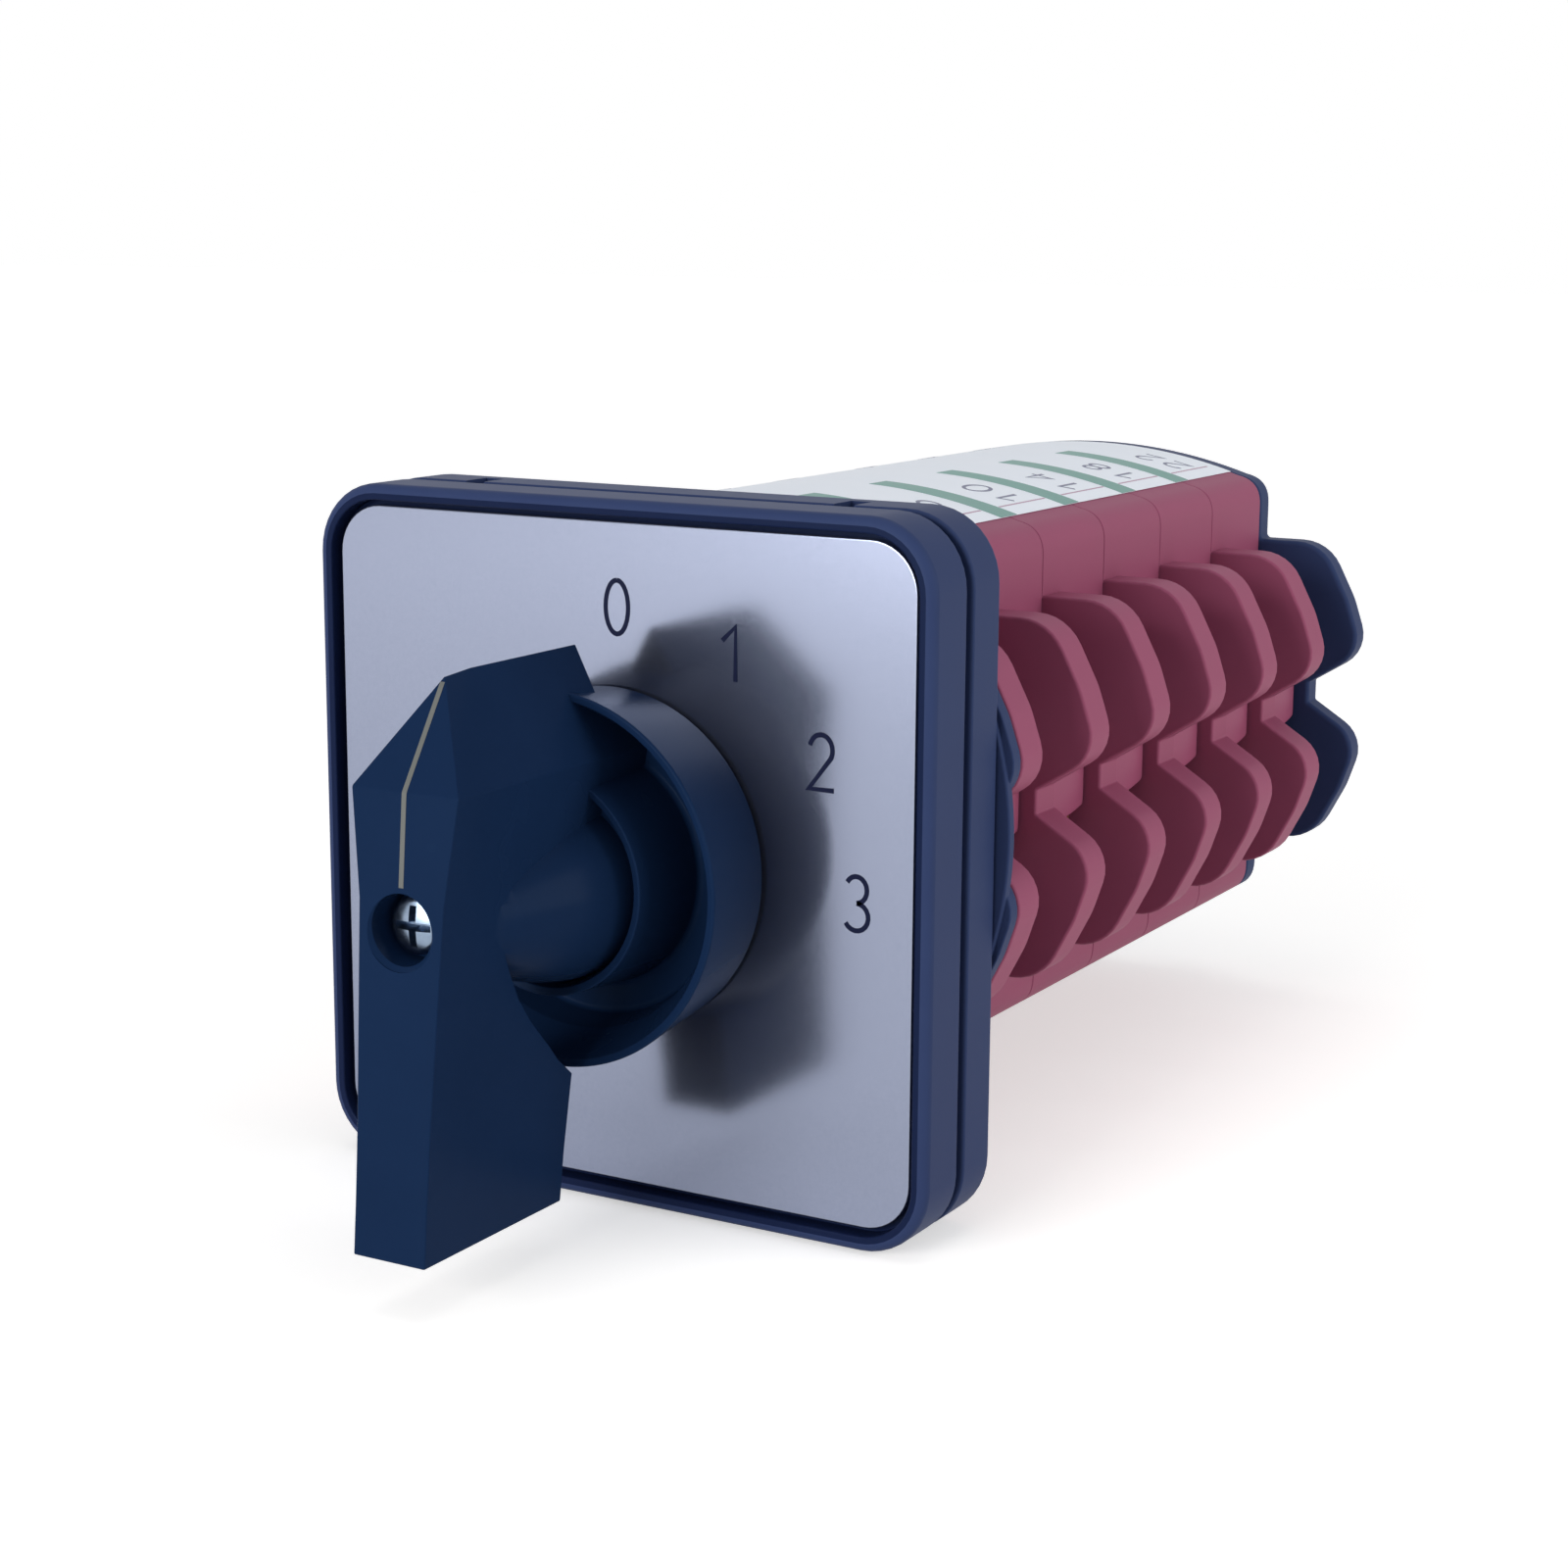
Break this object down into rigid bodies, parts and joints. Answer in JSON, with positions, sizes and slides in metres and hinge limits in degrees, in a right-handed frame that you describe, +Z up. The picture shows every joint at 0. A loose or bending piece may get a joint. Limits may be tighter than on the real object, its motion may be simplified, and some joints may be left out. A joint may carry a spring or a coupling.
{
  "type": "rotary changeover switch",
  "caption": "Square-fronted rotary changeover switch with a pointed turning handle and a long stack of contact sections with wing-shaped barriers.",
  "frame": {"origin": "on the shaft's axis, in the rear face of the base plate, where the panel sits", "axes": "+X right as seen from the handle, +Y into the switch along the shaft, +Z up"},
  "size_m": [0.0664, 0.1423, 0.064],
  "materials": {
    "black_plastic": "satin",
    "handle_plastic": "satin",
    "red_moulding": "matt",
    "brushed_plate": "satin",
    "zinc_steel": "satin",
    "contact_brass": "satin",
    "spring_steel": "satin",
    "cam_nylon": "matt"
  },
  "bodies": {
    "switch_body": {"front_frame": "black_plastic", "legend_plate": "brushed_plate", "base_plate": "black_plastic", "latch_cover": "black_plastic", "detent_spring": "spring_steel", "end_plate": "black_plastic", "tie_bolt_left": "zinc_steel", "tie_bolt_right": "zinc_steel", "section_housing_1": "red_moulding", "section_housing_2": "red_moulding", "section_housing_3": "red_moulding", "section_housing_4": "red_moulding", "section_housing_5": "red_moulding", "section_housing_6": "red_moulding", "terminal_1_upper_right": "contact_brass", "terminal_2_upper_right": "contact_brass", "terminal_3_upper_right": "contact_brass", "terminal_4_upper_right": "contact_brass", "terminal_5_upper_right": "contact_brass", "terminal_6_upper_right": "contact_brass", "terminal_1_lower_right": "contact_brass", "terminal_2_lower_right": "contact_brass", "terminal_3_lower_right": "contact_brass", "terminal_4_lower_right": "contact_brass", "terminal_5_lower_right": "contact_brass", "terminal_6_lower_right": "contact_brass", "terminal_1_upper_left": "contact_brass", "terminal_2_upper_left": "contact_brass", "terminal_3_upper_left": "contact_brass", "terminal_4_upper_left": "contact_brass", "terminal_5_upper_left": "contact_brass", "terminal_6_upper_left": "contact_brass", "terminal_1_lower_left": "contact_brass", "terminal_2_lower_left": "contact_brass", "terminal_3_lower_left": "contact_brass", "terminal_4_lower_left": "contact_brass", "terminal_5_lower_left": "contact_brass", "terminal_6_lower_left": "contact_brass"},
    "rotor": {"handle": "handle_plastic", "handle_screw": "zinc_steel", "shaft": "zinc_steel", "star_wheel": "cam_nylon", "cam_1": "cam_nylon", "cam_2": "cam_nylon", "cam_3": "cam_nylon", "cam_4": "cam_nylon", "cam_5": "cam_nylon", "cam_6": "cam_nylon"},
    "slider_1_upper": {"contact_slider_1_upper": "cam_nylon"},
    "slider_1_lower": {"contact_slider_1_lower": "cam_nylon"},
    "slider_2_upper": {"contact_slider_2_upper": "cam_nylon"},
    "slider_2_lower": {"contact_slider_2_lower": "cam_nylon"},
    "slider_3_upper": {"contact_slider_3_upper": "cam_nylon"},
    "slider_3_lower": {"contact_slider_3_lower": "cam_nylon"},
    "slider_4_upper": {"contact_slider_4_upper": "cam_nylon"},
    "slider_4_lower": {"contact_slider_4_lower": "cam_nylon"},
    "slider_5_upper": {"contact_slider_5_upper": "cam_nylon"},
    "slider_5_lower": {"contact_slider_5_lower": "cam_nylon"},
    "slider_6_upper": {"contact_slider_6_upper": "cam_nylon"},
    "slider_6_lower": {"contact_slider_6_lower": "cam_nylon"}
  },
  "joints": [
    {"name": "handle_turn", "type": "hinge", "parent": "switch_body", "child": "rotor", "pos_m": [0, 0, 0], "axis": [0, 1, 0], "range_deg": [0, 90], "deforming": ["detent_spring"]},
    {"name": "slide_1_upper", "type": "slide", "parent": "switch_body", "child": "slider_1_upper", "axis": [0, 0, 1], "range_m": [0, 0.0026]},
    {"name": "slide_1_lower", "type": "slide", "parent": "switch_body", "child": "slider_1_lower", "axis": [0, 0, 1], "range_m": [0, 0.0026]},
    {"name": "slide_2_upper", "type": "slide", "parent": "switch_body", "child": "slider_2_upper", "axis": [0, 0, -1], "range_m": [0, 0.0026]},
    {"name": "slide_2_lower", "type": "slide", "parent": "switch_body", "child": "slider_2_lower", "axis": [0, 0, -1], "range_m": [0, 0.0026]},
    {"name": "slide_3_upper", "type": "slide", "parent": "switch_body", "child": "slider_3_upper", "axis": [0, 0, 1], "range_m": [0, 0.0026]},
    {"name": "slide_3_lower", "type": "slide", "parent": "switch_body", "child": "slider_3_lower", "axis": [0, 0, 1], "range_m": [0, 0.0026]},
    {"name": "slide_4_upper", "type": "slide", "parent": "switch_body", "child": "slider_4_upper", "axis": [0, 0, -1], "range_m": [0, 0.0026]},
    {"name": "slide_4_lower", "type": "slide", "parent": "switch_body", "child": "slider_4_lower", "axis": [0, 0, -1], "range_m": [0, 0.0026]},
    {"name": "slide_5_upper", "type": "slide", "parent": "switch_body", "child": "slider_5_upper", "axis": [0, 0, 1], "range_m": [0, 0.0026]},
    {"name": "slide_5_lower", "type": "slide", "parent": "switch_body", "child": "slider_5_lower", "axis": [0, 0, 1], "range_m": [0, 0.0026]},
    {"name": "slide_6_upper", "type": "slide", "parent": "switch_body", "child": "slider_6_upper", "axis": [0, 0, -1], "range_m": [0, 0.0026]},
    {"name": "slide_6_lower", "type": "slide", "parent": "switch_body", "child": "slider_6_lower", "axis": [0, 0, -1], "range_m": [0, 0.0026]}
  ],
  "couplings": [
    {"joint": "slide_1_upper", "follows": "handle_turn", "m_per_rad": 0.0016552},
    {"joint": "slide_1_lower", "follows": "handle_turn", "m_per_rad": 0.0016552},
    {"joint": "slide_2_upper", "follows": "handle_turn", "m_per_rad": 0.0016552},
    {"joint": "slide_2_lower", "follows": "handle_turn", "m_per_rad": 0.0016552},
    {"joint": "slide_3_upper", "follows": "handle_turn", "m_per_rad": 0.0016552},
    {"joint": "slide_3_lower", "follows": "handle_turn", "m_per_rad": 0.0016552},
    {"joint": "slide_4_upper", "follows": "handle_turn", "m_per_rad": 0.0016552},
    {"joint": "slide_4_lower", "follows": "handle_turn", "m_per_rad": 0.0016552},
    {"joint": "slide_5_upper", "follows": "handle_turn", "m_per_rad": 0.0016552},
    {"joint": "slide_5_lower", "follows": "handle_turn", "m_per_rad": 0.0016552},
    {"joint": "slide_6_upper", "follows": "handle_turn", "m_per_rad": 0.0016552},
    {"joint": "slide_6_lower", "follows": "handle_turn", "m_per_rad": 0.0016552}
  ]
}
